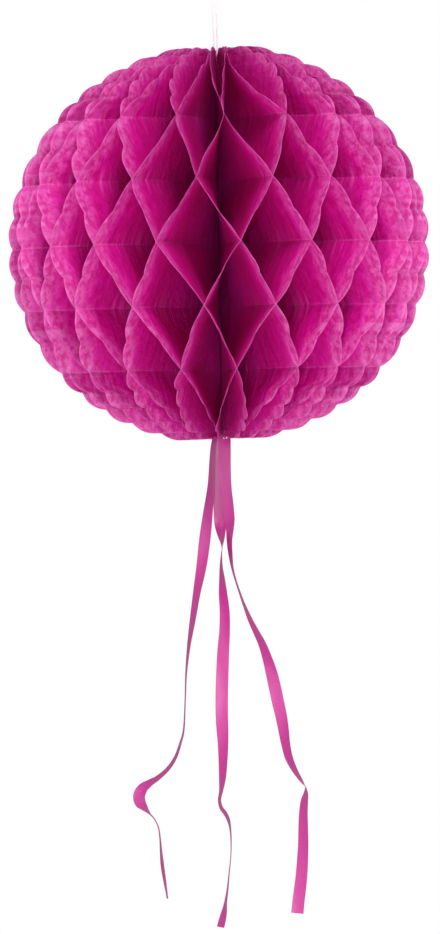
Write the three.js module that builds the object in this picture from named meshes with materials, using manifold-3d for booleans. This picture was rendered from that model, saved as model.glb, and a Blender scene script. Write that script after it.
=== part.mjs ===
// A honeycomb paper ball: thin tissue sheets glued along level lines and fanned round a spine,
// hung on a doubled thread, with three ribbon tails tied on below.
// Millimetres, +Z up. The origin is where the hanging loop bears on its hook. -Y faces the viewer.

import * as THREE from "three";
import { mergeVertices } from "three/addons/utils/BufferGeometryUtils.js";
import Module from "manifold-3d";

// Tissue sheets
const BALL_DIAMETER = 300; // across the scallops at the equator
const OVAL_HEIGHT = 283; // of the oval that the notches between scallops lie on
const SCALLOP_DEPTH = 3.4; // from a scallop's chord to its crown
const SCALLOP_WIDTH = 23.5; // of one scallop, as near as whole scallops between glue lines allow
const SCALLOP_STEPS = 2; // straight steps that draw one scallop
const GLUE_PITCH = 45; // from one glue line to the next
const GLUE_WIDTH = 2.5;
const SHEETS = 39; // the end boards close the ring as one more wall
const SHEET_THICKNESS = 0.75; // as a solid; the real tissue is far thinner
const FRONT_TURN = 5; // degrees from the viewer's side to the nearest glued pair
const SIDE_CROWDING = 5.6; // degrees that the sheets crowd towards the two sides
const JOINT_WOBBLE = 1; // degrees that a glued pair strays from its even place at the rim
const SPINE_RADIUS = 7.5; // of the bundle where the straight edges meet
const SPINE_RECESS = 7; // how far the spine's ends lie inside the poles

// Card end boards at the back seam
const BOARD_THICKNESS = 0.6;
const BOARD_GAP = 0.3; // the adhesive between the two boards
const FIT = 0.3; // clearance between pieces that touch

// Hanging thread, doubled, with a knot below the spine
const THREAD_DIAMETER = 0.9;
const THREAD_SPREAD = 2.4; // between the two strands
const THREAD_FREE = 52; // from the spine's top to the hook
const LOOP_WIDTH = 7;
const LOOP_OPENING = 12; // height over which the strands part into the loop
const KNOT_DIAMETER = 7;
const KNOT_HEIGHT = 2.8;

// Satin ribbon tails: x, y, z below the knot, and the turn away from facing the viewer in degrees
const RIBBON_WIDTH = 9;
const RIBBON_THICKNESS = 0.7; // as a solid; the real satin is thinner
const RIBBON_STEPS = 48;
const LEFT_ROUTE = [
  [-5.3, 0, 0, 66], [-6.6, 0, -6, 67], [-7.6, 0, -14, 68], [-8.8, 0.5, -34, 59],
  [-11.2, 0.5, -53, 41], [-13.8, 0, -72, 27], [-16.5, 0, -91, 37], [-20.2, 1, -110, 54],
  [-23.4, 2, -129, 63], [-26.4, 2, -147, 74], [-28.7, 1, -167, 82], [-29.8, 0, -187, 85],
  [-31.1, -1, -207, 83], [-33.7, -2, -217, 80], [-37.4, -3, -227, 76], [-42.9, -4, -235, 73],
  [-49.8, -5, -241, 69], [-55.6, -6, -244.5, 60], [-61, -6, -248.5, 38], [-63.8, -4.5, -254, 18],
  [-63, -2, -259.5, 30], [-60, 0, -263.5, 60], [-56.7, 1, -267, 80], [-53.2, 1.5, -271, 84],
  [-50.5, 2, -277, 84], [-49.4, 2, -285, 83], [-48.9, 1, -294, 79], [-48.1, 0, -304, 74],
  [-46.8, 0, -314, 76], [-45.5, 0, -323, 81], [-44.9, 0, -328, 83],
];
const MIDDLE_ROUTE = [
  [-1, 1.6, 0, 7], [-2.1, 2.6, -14, 7], [-2.5, 3.5, -34, 7], [-2.7, 3.5, -49, 7],
  [-2.6, 3, -58, 12], [-2.1, 2.5, -66, 41], [-1.6, 2, -72, 66], [-1.6, 2, -77.5, 87],
  [-2.1, 2, -83.5, 95], [-2.4, 2, -92, 104], [-1.9, 2, -101, 117], [-1.4, 2, -111, 131],
  [-0.5, 2, -124, 141], [-0.8, 1, -138, 147], [-2, 0, -152, 159], [-3.4, -1, -177, 174],
  [-3.8, -1, -197, 170], [-3.3, 0, -217, 147], [-3.5, 1, -230, 134], [-4.1, 1, -242, 123],
  [-5.3, 0, -251.5, 108], [-6.5, -1, -258, 104], [-5.4, -1.5, -263.5, 105], [-2.7, -1, -267.5, 106],
  [-0.5, 0, -272, 104], [0.7, 1, -277.5, 98], [1.2, 1.5, -286, 95], [0.9, 1, -297, 93],
  [-0.3, 0, -308, 94], [-1.9, -1, -322, 98], [-3.6, -1, -332, 104], [-4.9, 0, -339, 118],
  [-6.2, 1, -344.5, 124], [-7.4, 1, -349, 126],
];
const RIGHT_ROUTE = [
  [1.5, -1.6, 0, 10], [1.6, -3, -7, 18], [1.4, -4, -21, 18], [1.8, -4, -35, 23],
  [3.3, -4, -48, 31], [4.3, -4, -58, 40], [4.2, -4, -65.5, 55], [3.8, -3.5, -73, 65],
  [4.3, -3, -82, 71], [5.5, -2, -92, 79], [7.7, -1, -101, 82], [10.8, 0, -111, 81],
  [14.1, 1, -120.5, 76], [17.8, 2, -130, 68], [22, 3, -139, 61], [26.2, 3, -148, 52],
  [29.5, 3, -158, 40], [32.2, 2, -168, 24], [34.4, 1, -178, 12], [36.3, 0, -188, 14],
  [38.4, -1, -198, 23], [40, -1, -208, 33], [41.3, -1, -218, 45], [43.5, 0, -228.5, 52],
  [47.7, 1, -238, 64], [52.2, 2, -245.5, 76], [55, 2, -250, 92], [55.3, 1.5, -254.5, 111],
  [54.1, 1, -260, 126], [53.2, 0, -269, 133], [52.9, 0, -280, 140], [52.6, 0, -293, 146],
  [51.1, 0, -313, 158], [48.8, 0, -330, 166], [47.6, 0, -340, 170],
];

const TISSUE = new THREE.MeshStandardMaterial({ color: 0xc0147a, roughness: 0.85, metalness: 0 });
const CARD = new THREE.MeshStandardMaterial({ color: 0xb00f6e, roughness: 0.7, metalness: 0 });
const SATIN = new THREE.MeshStandardMaterial({ color: 0xd3509f, roughness: 0.35, metalness: 0 });
const THREAD = new THREE.MeshStandardMaterial({ color: 0xeee6ea, roughness: 0.6, metalness: 0 });

const solids = await Module();
solids.setup();

const lerp = THREE.MathUtils.lerp;
const clamp = THREE.MathUtils.clamp;
const radians = THREE.MathUtils.degToRad;

// The glue lines, as latitudes on the oval, with the poles as first and last stop
const ovalHalf = OVAL_HEIGHT / 2;
const spineHalf = ovalHalf - SPINE_RECESS;
const crownHeight = ovalHalf * Math.sqrt(1 - ((6 * SPINE_RADIUS) / BALL_DIAMETER) ** 2);
const topLevel = Math.floor(crownHeight / GLUE_PITCH);
const levels = Array.from({ length: 2 * topLevel + 1 }, (_, index) => index - topLevel);
const levelLatitudes = levels.map((level) => Math.asin((level * GLUE_PITCH) / ovalHalf));
const latitudes = [-Math.PI / 2, ...levelLatitudes, Math.PI / 2];

// Whole scallops between stops, and each stop's place counted in scallops from the bottom pole
const spanScallops = latitudes.slice(1).map((latitude, index) => {
  const width = (BALL_DIAMETER / 2) * (Math.cos(latitude) - Math.cos(latitudes[index]));
  const height = ovalHalf * (Math.sin(latitude) - Math.sin(latitudes[index]));
  return Math.max(1, Math.round(Math.hypot(width, height) / SCALLOP_WIDTH));
});
const stops = [0];
spanScallops.forEach((count) => stops.push(stops[stops.length - 1] + count));
const levelPlaces = stops.slice(1, -1);
const scallops = stops[stops.length - 1];
const firstTilt = levelLatitudes[topLevel + 1] / spanScallops[topLevel + 1] / 2;
const ovalRadius = (BALL_DIAMETER / 2 / Math.cos(firstTilt) - SCALLOP_DEPTH) / Math.cos(firstTilt);

// The sheets' cut edge: notches on the oval, and a bow from each notch to the next

function notch(index) {
  if (index === 0 || index === scallops) {
    return new THREE.Vector2(SPINE_RADIUS, index === 0 ? -spineHalf : spineHalf);
  }
  const span = stops.findIndex((stop) => stop > index) - 1;
  const share = (index - stops[span]) / (stops[span + 1] - stops[span]);
  const latitude = lerp(latitudes[span], latitudes[span + 1], share);
  return new THREE.Vector2(ovalRadius * Math.cos(latitude), ovalHalf * Math.sin(latitude));
}

function edgePoint(place) {
  const index = Math.min(Math.floor(place), scallops - 1);
  const share = place - index;
  const from = notch(index);
  const to = notch(index + 1);
  const chord = to.clone().sub(from);
  const outward = new THREE.Vector2(chord.y, -chord.x).normalize();
  const bow = SCALLOP_DEPTH * 4 * share * (1 - share);
  return from.clone().addScaledVector(chord, share).addScaledVector(outward, bow);
}

const middlePlace = levelPlaces[topLevel];
const glueShare = GLUE_WIDTH / 2 / notch(middlePlace).distanceTo(notch(middlePlace + 1));

const glueEdges = levelPlaces.flatMap((place) => [place - glueShare, place + glueShare]);
const steps = Array.from({ length: scallops * SCALLOP_STEPS + 1 }, (_, step) => step / SCALLOP_STEPS);
const clearSteps = steps.filter((place) => !levelPlaces.includes(place));
const places = [...clearSteps, ...glueEdges].sort((a, b) => a - b);
const rows = places.filter((place) => Number.isInteger(place) || glueEdges.includes(place));

// Where a pair of sheets is glued, as an angle from the viewer's side towards +X
const slotHalf = BOARD_GAP / 2 + BOARD_THICKNESS + FIT;
const lastJoint = SHEETS;

function evenAngle(joint) {
  const even = FRONT_TURN - 180 + (joint * 360) / (SHEETS + 1);
  return even + SIDE_CROWDING * Math.sin(radians(2 * even));
}

const seamAngle = evenAngle(lastJoint + 0.5);

function jointAngle(joint, level, radius) {
  const beside = THREE.MathUtils.radToDeg(Math.asin(slotHalf / radius));
  if (joint === 0) {
    return seamAngle - 360 + beside;
  }
  if (joint === lastJoint) {
    return seamAngle - beside;
  }
  const wobble = JOINT_WOBBLE * Math.sin(7.3 * joint + 4.1 * level);
  return evenAngle(joint) + (wobble * radius) / (BALL_DIAMETER / 2);
}

// Sheet 0 stands between joints 0 and 1, and so on round, glued to one at even levels and the other at odd.
// Its two faces look towards those joints. A face lies on its joint where the sheet is glued there,
// and a thickness away from the other joint where the sheet is glued to that one.
function faceAngle(sheet, face, place, radius) {
  const below = levelPlaces.filter((stop) => stop <= place).length - 1;
  const start = below < 0 ? 0 : levelPlaces[below] + glueShare;
  const end = below + 1 < levels.length ? levelPlaces[below + 1] - glueShare : scallops;
  const level = below - topLevel;
  const height = edgePoint(clamp(place, start, end)).y;
  let share = (height - edgePoint(start).y) / (edgePoint(end).y - edgePoint(start).y);
  if (below < 0) {
    share = 0.5 + (0.5 * clamp(place, start, end)) / end;
  }
  if (below + 1 === levels.length) {
    share = (0.5 * (clamp(place, start, end) - start)) / (end - start);
  }
  const thickness = THREE.MathUtils.radToDeg(SHEET_THICKNESS / radius);
  const angleAt = (at) => {
    const joint = Math.abs(at + sheet) % 2 === 0 ? sheet : sheet + 1;
    return jointAngle(joint, at, radius) + (face - joint) * thickness;
  };
  return lerp(angleAt(level), angleAt(level + 1), share);
}

function around(radius, degrees, height) {
  const angle = radians(degrees);
  return new THREE.Vector3(radius * Math.sin(angle), -radius * Math.cos(angle), height);
}

function faceEdge(sheet, face, place) {
  const point = edgePoint(place);
  return around(point.x, faceAngle(sheet, face, place, point.x), point.y);
}

// A cell closes on the spine along one upright line
function cellAngle(joint) {
  return joint === 0 || joint === lastJoint ? jointAngle(joint, 0, SPINE_RADIUS) : evenAngle(joint);
}

function spinePoint(joint, place) {
  return around(SPINE_RADIUS, cellAngle(joint), clamp(edgePoint(place).y, -spineHalf, spineHalf));
}

const corners = [];

function triangle(a, b, c) {
  if (a.distanceTo(b) > 0.001 && b.distanceTo(c) > 0.001 && c.distanceTo(a) > 0.001) {
    corners.push(a, b, c);
  }
}

// The face of a sheet that looks towards a joint, from its cut edge in to the spine, between glue lines.
// Both faces of a sheet are split alike, row by row, so that they keep their distance.
function sheetFace(sheet, joint, from, to) {
  const face = (a, b, c) => (sheet === joint ? triangle(a, c, b) : triangle(a, b, c));
  const edge = (place) => faceEdge(sheet, joint, place);
  const within = rows.filter((row) => row >= from && row <= to);
  within.slice(1).forEach((high, index) => {
    const low = within[index];
    const rim = places.filter((place) => place >= low && place <= high);
    const middle = Math.floor(rim.length / 2);
    for (let step = 0; step + 1 < rim.length; step++) {
      face(edge(rim[step]), spinePoint(joint, step < middle ? low : high), edge(rim[step + 1]));
    }
    face(spinePoint(joint, low), spinePoint(joint, high), edge(rim[middle]));
  });
}

for (let joint = 1; joint < lastJoint; joint++) {
  const glued = levelPlaces.filter((_, index) => Math.abs(levels[index] + joint) % 2 === 0);
  const starts = [0, ...glued.map((place) => place + glueShare)];
  const ends = [...glued.map((place) => place - glueShare), scallops];
  starts.forEach((start, index) => {
    sheetFace(joint - 1, joint, start, ends[index]);
    sheetFace(joint, joint, start, ends[index]);
  });
}

// The cut edges
for (let sheet = 0; sheet < SHEETS; sheet++) {
  const near = places.map((place) => faceEdge(sheet, sheet, place));
  const far = places.map((place) => faceEdge(sheet, sheet + 1, place));
  for (let step = 0; step + 1 < places.length; step++) {
    triangle(near[step], far[step], far[step + 1]);
    triangle(near[step], far[step + 1], near[step + 1]);
  }
}

// The slot at the back where the end boards stand
sheetFace(SHEETS - 1, lastJoint, 0, scallops);
sheetFace(0, 0, 0, scallops);
for (let index = 0; index + 1 < rows.length; index++) {
  const near = spinePoint(lastJoint, rows[index]);
  const far = spinePoint(0, rows[index]);
  const nearUp = spinePoint(lastJoint, rows[index + 1]);
  const farUp = spinePoint(0, rows[index + 1]);
  triangle(near, far, farUp);
  triangle(near, farUp, nearUp);
}

// The spine's two flat ends
for (const place of [0, scallops]) {
  const rim = [spinePoint(0, place)];
  for (let sheet = 0; sheet < SHEETS; sheet++) {
    rim.push(faceEdge(sheet, sheet, place), faceEdge(sheet, sheet + 1, place), spinePoint(sheet + 1, place));
  }
  const centre = new THREE.Vector3(0, 0, rim[0].z);
  rim.forEach((point, index) => {
    const next = rim[(index + 1) % rim.length];
    if (place === 0) {
      triangle(centre, next, point);
    } else {
      triangle(centre, point, next);
    }
  });
}

function toSolid(geometry) {
  const welded = mergeVertices(geometry, 1e-4);
  const mesh = new solids.Mesh({
    numProp: 3,
    vertProperties: new Float32Array(welded.attributes.position.array),
    triVerts: new Uint32Array(welded.index.array),
  });
  return new solids.Manifold(mesh);
}

function toGeometry(solid) {
  const mesh = solid.getMesh();
  const geometry = new THREE.BufferGeometry();
  geometry.setAttribute("position", new THREE.BufferAttribute(new Float32Array(mesh.vertProperties), 3));
  geometry.setIndex(new THREE.BufferAttribute(new Uint32Array(mesh.triVerts), 1));
  geometry.computeVertexNormals();
  return geometry;
}

function plain(geometry) {
  geometry.deleteAttribute("normal");
  geometry.deleteAttribute("uv");
  return geometry;
}

// The pad, bored along its spine for the thread
const boreRadius = THREAD_SPREAD / 2 + THREAD_DIAMETER / 2 + FIT;
const bore = new THREE.CylinderGeometry(boreRadius, boreRadius, OVAL_HEIGHT, 16).rotateX(Math.PI / 2);
const fan = new THREE.BufferGeometry().setFromPoints(corners);
const pad = new THREE.Mesh(toGeometry(toSolid(fan).subtract(toSolid(plain(bore)))), TISSUE);
pad.name = "honeycomb_pad";

// The end boards, cut to the same scalloped half-oval as the sheets
const boardShape = new THREE.Shape();
boardShape.moveTo(SPINE_RADIUS + FIT, -spineHalf);
for (let step = 1; step < scallops * SCALLOP_STEPS; step++) {
  const point = edgePoint(step / SCALLOP_STEPS);
  boardShape.lineTo(point.x, point.y);
}
boardShape.lineTo(SPINE_RADIUS + FIT, spineHalf);

const seam = new THREE.Group();
seam.rotation.z = radians(seamAngle - 90);
for (const [name, offset] of [
  ["end_board_left", -BOARD_GAP / 2 - BOARD_THICKNESS],
  ["end_board_right", BOARD_GAP / 2],
]) {
  const card = new THREE.ExtrudeGeometry(boardShape, { depth: BOARD_THICKNESS, bevelEnabled: false });
  const board = new THREE.Mesh(card.translate(0, 0, offset).rotateX(Math.PI / 2), CARD);
  board.name = name;
  seam.add(board);
}

const ball = new THREE.Group();
ball.position.z = -THREAD_FREE - spineHalf;
ball.add(pad, seam);

// A closed solid through a row of sections, each a ring of points.
// Opposite sides are split along the same diagonal, so a twisted flat section keeps its thickness.
function loft(sections) {
  const points = sections.flat();
  const sides = sections[0].length;
  const index = [];
  for (let ring = 0; ring + 1 < sections.length; ring++) {
    for (let side = 0; side < sides; side++) {
      const a = ring * sides + side;
      const b = ring * sides + ((side + 1) % sides);
      const opposite = side >= sides / 2;
      index.push(a, b, opposite ? a + sides : b + sides);
      index.push(opposite ? b : a, b + sides, a + sides);
    }
  }
  const last = points.length - sides;
  for (let side = 1; side + 1 < sides; side++) {
    index.push(0, side + 1, side, last, last + side, last + side + 1);
  }
  const geometry = new THREE.BufferGeometry().setFromPoints(points);
  geometry.setIndex(index);
  return geometry;
}

// The thread: up one side of the spine, round the loop, and down the other side to the knot
const knotCentre = -THREAD_FREE - 2 * spineHalf - FIT - KNOT_HEIGHT / 2;
const loopRadius = LOOP_WIDTH / 2;
const loopCentre = THREAD_DIAMETER / 2 - loopRadius;
const strand = [new THREE.Vector3(-THREAD_SPREAD / 2, 0, knotCentre)];
for (let step = 0; step <= 6; step++) {
  const share = step / 6;
  const half = lerp(THREAD_SPREAD / 2, loopRadius, THREE.MathUtils.smoothstep(share, 0, 1));
  strand.push(new THREE.Vector3(-half, 0, loopCentre - LOOP_OPENING * (1 - share)));
}
for (let step = 1; step <= 4; step++) {
  const angle = (step * Math.PI) / 8;
  strand.push(new THREE.Vector3(-loopRadius * Math.cos(angle), 0, loopCentre + loopRadius * Math.sin(angle)));
}
const returning = strand.slice(0, -1).reverse().map((point) => new THREE.Vector3(-point.x, 0, point.z));
const route = [...strand, ...returning];
const threadRings = route.map((point, index) => {
  const ahead = route[Math.min(index + 1, route.length - 1)];
  const behind = route[Math.max(index - 1, 0)];
  const along = ahead.clone().sub(behind).normalize();
  const level = new THREE.Vector3(0, 1, 0);
  const across = new THREE.Vector3().crossVectors(level, along);
  return Array.from({ length: 8 }, (_, side) => {
    const angle = (side * Math.PI) / 4;
    const reach = THREAD_DIAMETER / 2;
    const rim = point.clone().addScaledVector(across, reach * Math.cos(angle));
    return rim.addScaledVector(level, reach * Math.sin(angle));
  });
});
const knotBall = new THREE.SphereGeometry(0.5, 16, 10).scale(KNOT_DIAMETER, KNOT_DIAMETER, KNOT_HEIGHT);
const knotSolid = toSolid(plain(knotBall.translate(0, 0, knotCentre)));
const thread = new THREE.Mesh(toGeometry(toSolid(loft(threadRings)).add(knotSolid)), THREAD);
thread.name = "hanging_thread";

// A ribbon: a flat section carried down its route and turned as the ribbon twists
function ribbonGeometry(points) {
  const centres = points.map(([x, y, z]) => new THREE.Vector3(x, y, z));
  const curve = new THREE.CatmullRomCurve3(centres, false, "centripetal");
  const sections = [];
  for (let step = 0; step <= RIBBON_STEPS; step++) {
    const at = step / RIBBON_STEPS;
    const share = curve.getUtoTmapping(at) * (points.length - 1);
    const index = Math.min(Math.floor(share), points.length - 2);
    const turn = radians(lerp(points[index][3], points[index + 1][3], share - index));
    const centre = curve.getPointAt(at);
    const along = curve.getTangentAt(at);
    const facing = new THREE.Vector3(0, 1, 0).cross(along).normalize().applyAxisAngle(along, turn);
    const through = new THREE.Vector3().crossVectors(along, facing);
    const corner = (wide, thick) => {
      const point = centre.clone().addScaledVector(facing, (wide * RIBBON_WIDTH) / 2);
      return point.addScaledVector(through, (thick * RIBBON_THICKNESS) / 2);
    };
    sections.push([corner(-1, -1), corner(1, -1), corner(1, 1), corner(-1, 1)]);
  }
  return loft(sections);
}

const tails = new THREE.Group();
tails.position.z = knotCentre - KNOT_HEIGHT / 2 - FIT;
for (const [name, points] of [
  ["ribbon_left", LEFT_ROUTE],
  ["ribbon_middle", MIDDLE_ROUTE],
  ["ribbon_right", RIGHT_ROUTE],
]) {
  const ribbon = new THREE.Mesh(ribbonGeometry(points), SATIN);
  ribbon.name = name;
  tails.add(ribbon);
}

const part = new THREE.Group();
part.name = "honeycomb_paper_ball";
part.add(ball, thread, tails);

export default part;
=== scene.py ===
import math

import bpy
from mathutils import Matrix, Vector, noise


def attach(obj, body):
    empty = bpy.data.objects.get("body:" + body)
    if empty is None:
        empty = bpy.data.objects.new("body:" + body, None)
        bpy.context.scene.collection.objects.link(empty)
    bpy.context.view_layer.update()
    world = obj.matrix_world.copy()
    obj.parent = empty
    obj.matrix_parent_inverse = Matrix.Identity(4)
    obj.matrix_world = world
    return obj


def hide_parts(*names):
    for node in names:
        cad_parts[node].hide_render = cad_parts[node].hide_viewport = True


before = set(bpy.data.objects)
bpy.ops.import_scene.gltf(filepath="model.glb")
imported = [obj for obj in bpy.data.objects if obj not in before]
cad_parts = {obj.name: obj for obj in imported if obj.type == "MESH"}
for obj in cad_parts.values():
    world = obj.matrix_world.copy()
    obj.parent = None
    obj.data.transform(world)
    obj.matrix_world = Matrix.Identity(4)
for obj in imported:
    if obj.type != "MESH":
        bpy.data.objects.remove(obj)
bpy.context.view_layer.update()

# Tissue sheets
# 39 half-ovals of thin dyed tissue, cut with a scalloped round edge and bound by their straight edges.
# Each is glued to the sheet before it and the sheet after it along level lines at alternate heights.
sheet_count = 39
left_half_count = 20
ball_radius = 0.15
oval_half = 0.1415
scallop_depth = 0.0034
glue_pitch = 0.045
glue_stops = [0, 2, 6, 8, 10, 12, 14, 18, 20]  # in scallops, from pole to pole
last_scallop = glue_stops[-1]
equator_stop = len(glue_stops) // 2
spine_half = 0.1345
spine_radius = 0.0075
spine_hole = 0.0024  # radius of the bore that the thread runs down
thread_free = 0.052  # from the hook to the spine's top
tissue_thickness = 0.00012
tissue_gap = 0.00009  # from a glue line's middle to each of its two sheets
board_slot = 0.00105  # from the back seam's middle to the first and the last sheet
ball_centre = -thread_free - spine_half

front_turn = 5  # degrees from the viewer's side to the nearest glued pair
side_crowding = 5.6  # degrees that the sheets crowd towards the two sides
joint_wobble = 1  # degrees that a glued pair strays from its even place at the rim
joint_strays = {  # the same for glued pairs on the front, by joint and level, fitted to the photograph
    (21, 3): -24,
    (18, 2): 1.3, (20, 2): -4.5, (22, 2): -2.3,
    (17, 1): 0.5, (19, 1): -1.5, (21, 1): -0.7, (23, 1): -2.7,
    (18, 0): -1.9, (20, 0): 0, (22, 0): -0.9,
    (17, -1): -0.2, (19, -1): 0.2, (21, -1): -0.4, (23, -1): -0.9,
    (18, -2): 1.5, (20, -2): -0.5, (22, -2): 1.6,
}
buckle_depth = 0.0026
buckle_rate = 26  # a metre
crinkle_depth = 0.0007
crinkle_rate = (110, 90)  # a metre, outwards and upwards
front_bow = 0.002  # how far the free stretches bow towards the viewer's side
scallop_curl = 0.0008
left_sag = 0.001  # how far the left side hangs below the right one
bottom_flat = 0.0035  # how far the bottom is pushed up

levels = range(-3, 4)
latitudes = [-math.pi / 2] + [math.asin(k * glue_pitch / oval_half) for k in levels] + [math.pi / 2]
first_tilt = latitudes[equator_stop + 1] / 4  # latitude of the first scallop's crown above the equator
oval_radius = (ball_radius / math.cos(first_tilt) - scallop_depth) / math.cos(first_tilt)


def notch(index):
    """A corner between two scallops of the flat sheet: distance from the spine's axis and height."""
    if index in (0, last_scallop):
        return Vector((spine_radius, -spine_half if index == 0 else spine_half))
    span = sum(stop <= index for stop in glue_stops) - 1
    share = (index - glue_stops[span]) / (glue_stops[span + 1] - glue_stops[span])
    latitude = latitudes[span] + share * (latitudes[span + 1] - latitudes[span])
    return Vector((oval_radius * math.cos(latitude), oval_half * math.sin(latitude)))


def cut_edge(place):
    """A point of the scalloped edge, with its place counted in scallops from the lower pole."""
    index = min(int(place), last_scallop - 1)
    share = place - index
    start, end = notch(index), notch(index + 1)
    chord = end - start
    outward = Vector((chord.y, -chord.x)).normalized()
    return start + chord * share + outward * scallop_depth * 4 * share * (1 - share)


def even_angle(joint):
    even = front_turn - 180 + joint * 360 / (sheet_count + 1)
    return even + side_crowding * math.sin(math.radians(2 * even))


seam_angle = even_angle(sheet_count + 0.5)


def joint_angle(joint, level, radius):
    """Where the glue line between two neighbours stands round the spine, in degrees from the front."""
    beside = math.degrees(math.asin(min(1, board_slot / radius)))
    if joint == 0:
        return seam_angle - 360 + beside
    if joint == sheet_count:
        return seam_angle - beside
    stray = joint_strays.get((joint, level), joint_wobble * math.sin(7.3 * joint + 4.1 * level))
    return even_angle(joint) + stray * radius / ball_radius


def zigzag(place):
    """The glue line below a place on the cut edge, and how far up the place is towards the next one."""
    spans = len(glue_stops) - 1
    below = max(i for i in range(spans) if glue_stops[i] <= place) if place < last_scallop else spans - 1
    start, end = glue_stops[below], glue_stops[below + 1]
    if below == 0:
        share = 0.5 + 0.5 * place / end
    elif below == spans - 1:
        share = 0.5 * (place - start) / (end - start)
    else:
        low, high = cut_edge(start).y, cut_edge(end).y
        share = (cut_edge(place).y - low) / (high - low)
    return below - equator_stop, min(max(share, 0), 1)


def folded_point(sheet, place, reach):
    """Where a point of the flat sheet stands in the open ball; reach is 0 at the spine and 1 at the edge."""
    edge = cut_edge(place)
    inner = min(max(edge.y, -spine_half), spine_half)
    radius = spine_hole + (edge.x - spine_hole) * reach
    height = inner + (edge.y - inner) * reach
    level, share = zigzag(place)
    low = sheet if (level + sheet) % 2 == 0 else sheet + 1
    high = sheet if (level + 1 + sheet) % 2 == 0 else sheet + 1
    angle = joint_angle(low, level, radius)
    angle += share * (joint_angle(high, level + 1, radius) - angle)
    turn = math.radians(angle)
    side = (1 if low == sheet else -1) * (1 - share) + (1 if high == sheet else -1) * share
    free = 4 * share * (1 - share)
    buckle = noise.noise(Vector((radius * buckle_rate, height * buckle_rate, sheet * 5.3)))
    crinkle = noise.noise(Vector((radius * crinkle_rate[0], height * crinkle_rate[1], sheet * 3.1)))
    scallop = place - int(place)
    curl = math.sin(sheet * 2.7 + int(place) * 1.9) * 4 * scallop * (1 - scallop) * reach ** 8
    puff = buckle_depth * buckle + crinkle_depth * crinkle - front_bow * math.sin(turn)
    aside = tissue_gap * side + free * reach ** 1.5 * puff + scallop_curl * curl
    x = radius * math.sin(turn) + aside * math.cos(turn)
    y = -radius * math.cos(turn) + aside * math.sin(turn)
    sag = left_sag * (0.5 - 0.5 * math.sin(turn)) * reach
    lift = bottom_flat * (min(height, 0) / oval_half) ** 2 * reach
    return Vector((x, y, ball_centre + height - sag + lift))


def thicken(sheet, thickness, sharp_angle):
    """Gives the active flat sheet its thickness, and smooths it up to its cut edges."""
    bpy.ops.object.modifier_add(type="SOLIDIFY")
    solidify = sheet.modifiers[-1]
    solidify.thickness = thickness
    solidify.offset = 0
    bpy.ops.object.modifier_apply(modifier=solidify.name)
    bpy.ops.object.shade_smooth_by_angle(angle=math.radians(sharp_angle))


bpy.ops.object.select_all(action="DESELECT")
bpy.ops.mesh.primitive_grid_add(x_subdivisions=14, y_subdivisions=160, size=2)
flat_sheet = bpy.context.object
sheet_map = flat_sheet.data.uv_layers.active
sheet_map.name = "cut_sheet"
edge_map = flat_sheet.data.uv_layers.new(name="from_edge")
cut_places = [
    ((v.co.y + 1) / 2 * last_scallop, math.sin((v.co.x + 1) * math.pi / 4))
    for v in flat_sheet.data.vertices
]
for loop in flat_sheet.data.loops:
    place, reach = cut_places[loop.vertex_index]
    edge = cut_edge(place)
    sheet_map.data[loop.index].uv = (edge.x * reach, edge.y)
    edge_map.data[loop.index].uv = (edge.x * (1 - reach), place)

tissue_halves = []
for name, sheets in (
    ("tissue_left", range(left_half_count)),
    ("tissue_right", range(left_half_count, sheet_count)),
):
    bpy.ops.object.select_all(action="DESELECT")
    for sheet in sheets:
        copy = flat_sheet.copy()
        copy.data = flat_sheet.data.copy()
        bpy.context.collection.objects.link(copy)
        for vertex, (place, reach) in zip(copy.data.vertices, cut_places):
            vertex.co = folded_point(sheet, place, reach)
        copy.select_set(True)
        if sheet == sheets[0]:
            bpy.context.view_layer.objects.active = copy
    bpy.ops.object.join()
    half = bpy.context.object
    half.name = half.data.name = name
    thicken(half, tissue_thickness, 25)
    tissue_halves.append(half)
bpy.data.objects.remove(flat_sheet)


def blank_nodes(owner):
    """Empties the shader of a material or a world, and hands over its nodes and links."""
    owner.use_nodes = True
    owner.node_tree.nodes.clear()
    return owner.node_tree.nodes, owner.node_tree.links


def feed(socket, value):
    """Links a node's output to a socket, or sets the socket to a plain value."""
    if hasattr(value, "node"):
        links.new(value, socket)
    else:
        socket.default_value = value


def add(kind, **values):
    """Adds a shader node, and sets its options and its sockets by name."""
    node = nodes.new(kind)
    for key, value in values.items():
        if key in node.inputs:
            feed(node.inputs[key], value)
        else:
            setattr(node, key, value)
    return node


def mix(first, second, share):
    """Goes from one colour to another."""
    node = add("ShaderNodeMix", data_type="RGBA")
    for index, value in ((6, first), (7, second), (0, share)):
        feed(node.inputs[index], value)
    return node.outputs[2]


def mix_shaders(first, second, share):
    """Goes from one shader node to another."""
    node = add("ShaderNodeMixShader")
    for index, value in ((1, first.outputs[0]), (2, second.outputs[0]), (0, share)):
        feed(node.inputs[index], value)
    return node.outputs[0]


def work_out(operation, first, second):
    """One operation on two values."""
    node = add("ShaderNodeMath", operation=operation)
    feed(node.inputs[0], first)
    feed(node.inputs[1], second)
    return node.outputs["Value"]


def times(first, second):
    return work_out("MULTIPLY", first, second)


def ramp(value, start, end, low=0, high=1):
    """Takes a value from low to high as it goes from start to end."""
    ends = {"From Min": start, "From Max": end, "To Min": low, "To Max": high}
    return add("ShaderNodeMapRange", Value=value, **ends).outputs["Result"]


def noise_on(coordinates, scale, detail, stretch=None, **options):
    """Cloudy noise on a map, stretched along it where asked."""
    if stretch:
        coordinates = add("ShaderNodeMapping", Vector=coordinates, Scale=(*stretch, 1)).outputs["Vector"]
    node = add("ShaderNodeTexNoise", Vector=coordinates, Scale=scale, Detail=detail, **options)
    return node.outputs["Fac"]


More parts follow.
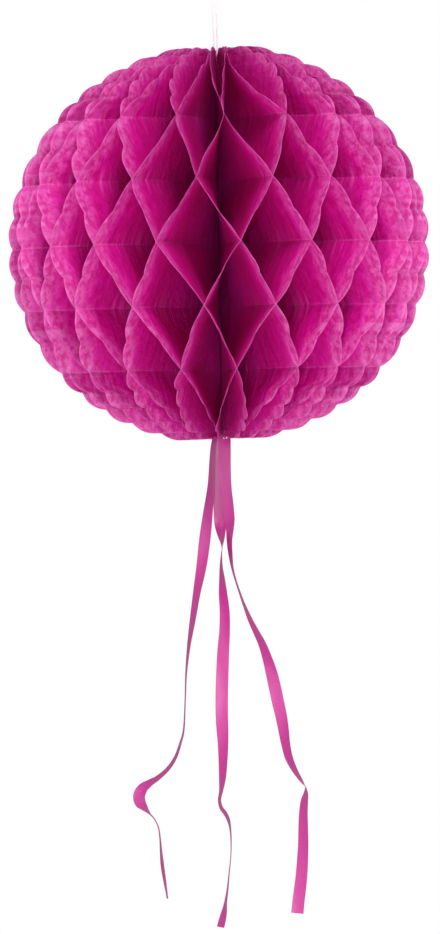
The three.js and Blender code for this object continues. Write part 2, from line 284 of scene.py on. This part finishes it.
def bump(height, strength, distance, **under):
    """Raises a surface by a value, on top of another bump where one is given as Normal."""
    node = add("ShaderNodeBump", Height=height, Strength=strength, Distance=distance, **under)
    return node.outputs["Normal"]


def srgb(red, green, blue):
    """A colour read in 8-bit display values, as a shader takes it."""
    parts = [c / 255 for c in (red, green, blue)]
    return tuple(c / 12.92 if c <= 0.04045 else ((c + 0.055) / 1.055) ** 2.4 for c in parts) + (1,)


def cover(piece, material):
    piece.data.materials.clear()
    piece.data.materials.append(material)


tissue = bpy.data.materials.new("magenta_tissue")
nodes, links = blank_nodes(tissue)
cut_sheet = add("ShaderNodeUVMap", uv_map="cut_sheet").outputs["UV"]
edge_place = add("ShaderNodeUVMap", uv_map="from_edge").outputs["UV"]
from_rim = add("ShaderNodeSeparateXYZ", Vector=edge_place).outputs["X"]
up_sheet = add("ShaderNodeSeparateXYZ", Vector=cut_sheet).outputs["Y"]
from_glue = work_out("PINGPONG", work_out("DIVIDE", up_sheet, glue_pitch), 0.5)  # in glue pitches

streaks = noise_on(cut_sheet, 1, 3, (120, 11), Distortion=0.6)
pleats = noise_on(cut_sheet, 1, 3, (230, 14), Distortion=0.4)
clouds = noise_on(cut_sheet, 170, 6, Roughness=0.65)
fibres = noise_on(cut_sheet, 1400, 4, Roughness=0.7)
mottle = ramp(mix(clouds, streaks, 0.35), 0.42, 0.6)
by_glue = ramp(from_glue, 0.02, 0.3, 1, 0)
near_rim = ramp(from_rim, 0.01, 0.035, 1, 0.2)
# Painted highlight: a pale line along each glue crease, fading away from the rim.
glue_line_highlight = times(ramp(from_glue, 0.005, 0.02, 0.9, 0), times(ramp(streaks, 0.4, 0.65), near_rim))
# Painted highlight: pale patches on the outer 18 mm of each sheet, where the petals catch the light.
painted_rim_highlight = times(ramp(from_rim, 0.001, 0.018, 1, 0), ramp(clouds, 0.42, 0.64, 0.12, 0.9))
# A darker tint for the shade that the photograph shows between rim and depth.
pocket = times(ramp(from_rim, 0.012, 0.036, 0, 0.8), ramp(from_rim, 0.05, 0.1, 1, 0.1))

paper = mix(srgb(212, 0, 142), srgb(252, 22, 196), mottle)
for shade, share in (
    # painted highlight near the rim
    (srgb(240, 160, 216), painted_rim_highlight),
    (srgb(246, 16, 200), ramp(from_rim, 0.05, 0.1, 0, 0.9)),  # painted light deep in the cells: a brighter, bluer colour that lifts the shade there
    (srgb(214, 0, 146), pocket),
    # painted highlight on the pleats beside the glue lines
    (srgb(250, 90, 210), times(ramp(pleats, 0.5, 0.72), times(by_glue, 0.75))),
    # painted highlight along the glue creases
    (srgb(254, 140, 222), glue_line_highlight),
    (srgb(212, 0, 146), ramp(fibres, 0.52, 0.75, 0, 0.6)),
    (srgb(194, 0, 126), ramp(streaks, 0.5, 0.66, 0, 0.55)),
    (srgb(254, 140, 222), ramp(from_rim, 0.0003, 0.0016, 0.45, 0)),  # painted highlight along the cut rim itself
):
    paper = mix(paper, shade, share)

crumple = bump(mix(streaks, pleats, by_glue), 0.7, 0.002)
crumple = bump(clouds, 1, 0.0015, Normal=crumple)
crumple = bump(fibres, 0.25, 0.0003, Normal=crumple)
paper_face = add("ShaderNodeBsdfPrincipled", Roughness=0.6, Normal=crumple, **{
    "Base Color": paper,
    "Specular IOR Level": 0.25,
    "Coat Weight": 0.5,
    "Coat Roughness": 0.48,
    "Coat IOR": 1.5,
})
shone_through = mix(mix(srgb(252, 50, 228), srgb(255, 100, 240), mottle), srgb(228, 0, 176), pocket)
thin_paper = add("ShaderNodeBsdfTranslucent", Color=shone_through, Normal=crumple)
add("ShaderNodeOutputMaterial", Surface=mix_shaders(paper_face, thin_paper, 0.36))

for half in tissue_halves:
    cover(half, tissue)
    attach(half, "root")
    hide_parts("honeycomb_pad")

# End boards
# Two scalloped half-ovals of dyed card that the pad is sold folded between.
# Opened out, they are stuck face to face and close the ring at the back.
card = bpy.data.materials.new("dyed_card")
nodes, links = blank_nodes(card)
on_card = add("ShaderNodeTexCoord").outputs["Object"]
card_fibre = noise_on(on_card, 700, 5)
card_cloud = noise_on(on_card, 60, 4)
card_face = add("ShaderNodeBsdfPrincipled", Roughness=0.6, Normal=bump(card_fibre, 0.2, 0.0003), **{
    "Base Color": mix(srgb(168, 8, 102), srgb(190, 16, 120), card_cloud),
})
add("ShaderNodeOutputMaterial", Surface=card_face.outputs[0])
for name in ("end_board_left", "end_board_right"):
    cover(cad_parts[name], card)

# Hanging thread
# One near-white sewing thread, doubled: both ends go down the spine to a knot that carries the ball.
# Above the ball the two strands run side by side and open into a small loop for the hook.
thread_radius = 0.00045
strand_half = 0.0012  # half the space between the strands
loop_radius = 0.0035
loop_opening = 0.012  # height over which the strands part
knot_half = 0.0014
knot_radius = 0.0031
knot_crown = 0.0013
knot_lay = 0.12  # how deep the turns of the thread show, as a share of the radius
fit = 0.0003
loop_centre = thread_radius - loop_radius
fork = loop_centre - loop_opening
knot_centre = -thread_free - 2 * spine_half - fit - knot_half

strand = [Vector((-strand_half, 0, knot_centre + (fork - knot_centre) * i / 12)) for i in range(12)]
for i in range(9):
    share = i / 8
    half_space = strand_half + (loop_radius - strand_half) * share * share * (3 - 2 * share)
    strand.append(Vector((-half_space, 0, loop_centre - loop_opening * (1 - share))))
for i in range(1, 7):
    turn = i * math.pi / 12
    strand.append(Vector((-loop_radius * math.cos(turn), 0, loop_centre + loop_radius * math.sin(turn))))
thread_route = strand + [Vector((-p.x, 0, p.z)) for p in reversed(strand[:-1])]

bpy.ops.object.select_all(action="DESELECT")
thread_line = bpy.data.curves.new("thread", "CURVE")
thread_line.dimensions = "3D"
spline = thread_line.splines.new("POLY")
spline.points.add(len(thread_route) - 1)
for point, at in zip(spline.points, thread_route):
    point.co = (*at, 1)
thread_line.bevel_depth = thread_radius
thread_line.bevel_resolution = 2
thread_line.use_fill_caps = True
thread = bpy.data.objects.new("thread", thread_line)
bpy.context.collection.objects.link(thread)
bpy.context.view_layer.objects.active = thread
thread.select_set(True)
bpy.ops.object.convert(target="MESH")
thread = bpy.context.object
bpy.ops.object.shade_smooth()

bpy.ops.object.select_all(action="DESELECT")
bpy.ops.mesh.primitive_uv_sphere_add(segments=48, ring_count=24, radius=1)
knot = bpy.context.object
knot.name = knot.data.name = "thread_knot"
for vertex in knot.data.vertices:
    around = math.atan2(vertex.co.y, vertex.co.x)
    radius = knot_radius * (1 + knot_lay * math.cos(3 * around + 9 * vertex.co.z))
    vertex.co = (vertex.co.x * radius, vertex.co.y * radius, knot_centre + vertex.co.z * knot_crown)
bpy.ops.object.shade_smooth()

cotton = bpy.data.materials.new("white_thread")
nodes, links = blank_nodes(cotton)
on_thread = add("ShaderNodeTexCoord").outputs["Object"]
twist_place = add("ShaderNodeMapping", Vector=on_thread, Rotation=(0, 0.6, 0)).outputs["Vector"]
twist = add("ShaderNodeTexWave", Vector=twist_place, Scale=400, Distortion=1.5, bands_direction="Z")
twist = twist.outputs["Fac"]
up_thread = add("ShaderNodeSeparateXYZ", Vector=on_thread).outputs["Z"]
knot_painted_shade = ramp(up_thread, -0.321, -0.318, 1, 0)  # painted shade: the hidden knot is given the ball's colour in place of the shade it sits in, a guess
undyed = mix(srgb(226, 216, 222), srgb(246, 240, 244), twist)
cotton_face = add("ShaderNodeBsdfPrincipled", Roughness=0.6, Normal=bump(twist, 0.5, 0.0002), **{
    "Base Color": mix(undyed, srgb(176, 12, 112), knot_painted_shade),
})
add("ShaderNodeOutputMaterial", Surface=cotton_face.outputs[0])
for piece in (thread, knot):
    cover(piece, cotton)
    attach(piece, "root")
    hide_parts("hanging_thread")

# Ribbon tails
# Three lengths of 9 mm woven satin ribbon, tied in at the knot under the spine and hanging free.
# Each twists on its way down; the left and middle ones are kinked from having been folded.
ribbon_width = 0.009
ribbon_thickness = 0.0002
ribbon_cup = 0.0003  # how far the middle stands out from the two edges
ribbon_steps = 240
ribbon_top = knot_centre - knot_half - fit
ribbon_routes = {  # mm from the knot's underside, and degrees of turn
    "ribbon_left": [
        (-5.3, 0, 0, 66), (-6.6, 0, -6, 67), (-7.6, 0, -14, 68), (-8.8, 0.5, -34, 59),
        (-11.2, 0.5, -53, 41), (-13.8, 0, -72, 27), (-16.5, 0, -91, 37), (-20.2, 1, -110, 54),
        (-23.4, 2, -129, 63), (-26.4, 2, -147, 74), (-28.7, 1, -167, 82), (-29.8, 0, -187, 85),
        (-31.1, -1, -207, 83), (-33.7, -2, -217, 80), (-37.4, -3, -227, 76), (-42.9, -4, -235, 73),
        (-49.8, -5, -241, 69), (-55.6, -6, -244.5, 60), (-61, -6, -248.5, 38), (-63.8, -4.5, -254, 18),
        (-63, -2, -259.5, 30), (-60, 0, -263.5, 60), (-56.7, 1, -267, 80), (-53.2, 1.5, -271, 84),
        (-50.5, 2, -277, 84), (-49.4, 2, -285, 83), (-48.9, 1, -294, 79), (-48.1, 0, -304, 74),
        (-46.8, 0, -314, 76), (-45.5, 0, -323, 81), (-44.9, 0, -328, 83),
    ],
    "ribbon_middle": [
        (-1, 1.6, 0, 7), (-2.1, 2.6, -14, 7), (-2.5, 3.5, -34, 7), (-2.7, 3.5, -49, 7),
        (-2.6, 3, -58, 12), (-2.1, 2.5, -66, 41), (-1.6, 2, -72, 66), (-1.6, 2, -77.5, 87),
        (-2.1, 2, -83.5, 95), (-2.4, 2, -92, 104), (-1.9, 2, -101, 117), (-1.4, 2, -111, 131),
        (-0.5, 2, -124, 141), (-0.8, 1, -138, 147), (-2, 0, -152, 159), (-3.4, -1, -177, 174),
        (-3.8, -1, -197, 170), (-3.3, 0, -217, 147), (-3.5, 1, -230, 134), (-4.1, 1, -242, 123),
        (-5.3, 0, -251.5, 108), (-6.5, -1, -258, 104), (-5.4, -1.5, -263.5, 105), (-2.7, -1, -267.5, 106),
        (-0.5, 0, -272, 104), (0.7, 1, -277.5, 98), (1.2, 1.5, -286, 95), (0.9, 1, -297, 93),
        (-0.3, 0, -308, 94), (-1.9, -1, -322, 98), (-3.6, -1, -332, 104), (-4.9, 0, -339, 118),
        (-6.2, 1, -344.5, 124), (-7.4, 1, -349, 126),
    ],
    "ribbon_right": [
        (1.5, -1.6, 0, 10), (1.6, -3, -7, 18), (1.4, -4, -21, 18), (1.8, -4, -35, 23),
        (3.3, -4, -48, 31), (4.3, -4, -58, 40), (4.2, -4, -65.5, 55), (3.8, -3.5, -73, 65),
        (4.3, -3, -82, 71), (5.5, -2, -92, 79), (7.7, -1, -101, 82), (10.8, 0, -111, 81),
        (14.1, 1, -120.5, 76), (17.8, 2, -130, 68), (22, 3, -139, 61), (26.2, 3, -148, 52),
        (29.5, 3, -158, 40), (32.2, 2, -168, 24), (34.4, 1, -178, 12), (36.3, 0, -188, 14),
        (38.4, -1, -198, 23), (40, -1, -208, 33), (41.3, -1, -218, 45), (43.5, 0, -228.5, 52),
        (47.7, 1, -238, 64), (52.2, 2, -245.5, 76), (55, 2, -250, 92), (55.3, 1.5, -254.5, 111),
        (54.1, 1, -260, 126), (53.2, 0, -269, 133), (52.9, 0, -280, 140), (52.6, 0, -293, 146),
        (51.1, 0, -313, 158), (48.8, 0, -330, 166), (47.6, 0, -340, 170),
    ],
}


def between(p, q, r, s, t):
    """A smooth value from q to r, with p before them and s after them."""
    square, cube = 2 * p - 5 * q + 4 * r - s, 3 * q - p - 3 * r + s
    return 0.5 * (2 * q + (r - p) * t + square * t * t + cube * t ** 3)


def smooth_route(points):
    """Place and turn at each step of a smooth line through given points."""
    stations = []
    spans = len(points) - 1
    for step in range(ribbon_steps + 1):
        at = step / ribbon_steps * spans
        index = min(int(at), spans - 1)
        before, after = points[max(index - 1, 0)], points[min(index + 2, spans)]
        around = zip(before, points[index], points[index + 1], after)
        stations.append([between(p, q, r, s, at - index) for p, q, r, s in around])
    return stations


satin = bpy.data.materials.new("satin_ribbon")
nodes, links = blank_nodes(satin)
weave_map = add("ShaderNodeUVMap", uv_map="ribbon_weave").outputs["UV"]
weft = noise_on(weave_map, 1, 2, (300, 2600))
warp = noise_on(weave_map, 1, 2, (3000, 60))
weave_bump = bump(warp, 0.2, 0.0002, Normal=bump(weft, 0.25, 0.0002))
satin_face = add("ShaderNodeBsdfPrincipled", Roughness=0.42, Normal=weave_bump, **{
    "Base Color": mix(srgb(164, 16, 112), srgb(184, 52, 140), warp),
    "Specular IOR Level": 0.75,
})
add("ShaderNodeOutputMaterial", Surface=satin_face.outputs[0])

for name, points in ribbon_routes.items():
    stations = smooth_route(points)
    centres = [Vector((x, y, z)) / 1000 + Vector((0, 0, ribbon_top)) for x, y, z, turn in stations]
    lengths = [0]
    for a, b in zip(centres, centres[1:]):
        lengths.append(lengths[-1] + (b - a).length)
    bpy.ops.object.select_all(action="DESELECT")
    bpy.ops.mesh.primitive_grid_add(x_subdivisions=8, y_subdivisions=ribbon_steps, size=2)
    ribbon = bpy.context.object
    ribbon.name = ribbon.data.name = name + "_satin"
    weave = ribbon.data.uv_layers.active
    weave.name = "ribbon_weave"
    marks = [(v.co.x, round((v.co.y + 1) / 2 * ribbon_steps)) for v in ribbon.data.vertices]
    for loop in ribbon.data.loops:
        across, step = marks[loop.vertex_index]
        weave.data[loop.index].uv = (across * ribbon_width / 2, lengths[step])
    for vertex, (across, step) in zip(ribbon.data.vertices, marks):
        along = (centres[min(step + 1, ribbon_steps)] - centres[max(step - 1, 0)]).normalized()
        facing = Vector((0, 1, 0)).cross(along).normalized()
        facing = Matrix.Rotation(math.radians(stations[step][3]), 3, along) @ facing
        cup = along.cross(facing) * ribbon_cup * (1 - across * across)
        vertex.co = centres[step] + facing * across * ribbon_width / 2 + cup
    thicken(ribbon, ribbon_thickness, 40)
    cover(ribbon, satin)
    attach(ribbon, "root")
    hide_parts(name)

# Studio
# A white floor far below the hanging ball and a white surround, both seen as white by the camera.
# Soft lamps: the key above the front, a fill low in front, a weak one by the camera and at each side.
floor_height = -2.2
surround_level = 0.48
lamps = {  # place, size and power
    "soft_key": ((0.4, -2.3, 1.9), 0.8, 62),
    "soft_front": ((-0.2, -3, -1.5), 1, 52),
    "soft_camera": ((0, -4, -0.2), 0.6, 16),
    "soft_left": ((-2.1, -1.9, -0.1), 0.9, 8),
    "soft_right": ((2.1, -1.9, -0.1), 0.9, 8),
}
bpy.ops.object.select_all(action="DESELECT")
bpy.ops.mesh.primitive_plane_add(size=12, location=(0, 0, floor_height))
floor = bpy.context.object
floor.name = "floor"
white = bpy.data.materials.new("white_floor")
nodes, links = blank_nodes(white)
seen = add("ShaderNodeLightPath").outputs["Is Camera Ray"]
matte = add("ShaderNodeBsdfPrincipled", Roughness=0.9, **{"Base Color": (0.9, 0.9, 0.9, 1)})
plain_white = add("ShaderNodeEmission", Strength=1)
add("ShaderNodeOutputMaterial", Surface=mix_shaders(matte, plain_white, seen))
cover(floor, white)

world = bpy.data.worlds.new("surround")
bpy.context.scene.world = world
nodes, links = blank_nodes(world)
seen = add("ShaderNodeLightPath").outputs["Is Camera Ray"]
lighting = add("ShaderNodeBackground", Color=(1, 1, 1, 1), Strength=surround_level)
backdrop = add("ShaderNodeBackground", Color=(1, 1, 1, 1), Strength=1)
add("ShaderNodeOutputWorld", Surface=mix_shaders(lighting, backdrop, seen))

for name, (spot, size, power) in lamps.items():
    lamp = bpy.data.lights.new(name, "AREA")
    lamp.size = size
    lamp.energy = power
    soft_lamp = bpy.data.objects.new(name, lamp)
    bpy.context.collection.objects.link(soft_lamp)
    soft_lamp.location = spot
    aim = Vector((0, 0, ball_centre)) - Vector(spot)
    soft_lamp.rotation_euler = aim.to_track_quat("-Z", "Y").to_euler()

# Camera
# Level with the middle of the picture, far off, and rolled so that the ball leans a little to the left.
camera_distance = 6
camera_drop = 0.1582  # from the ball's middle to the picture's middle
lens = bpy.data.cameras.new("camera")
lens.lens = 323.8
lens.sensor_width = 36
lens.clip_end = 50
camera = bpy.data.objects.new("camera", lens)
bpy.context.collection.objects.link(camera)
camera.location = (-0.002, -camera_distance, ball_centre - camera_drop)
camera.rotation_euler = (math.radians(90), math.radians(1), 0)
bpy.context.scene.camera = camera
bpy.context.scene.view_settings.view_transform = "Standard"
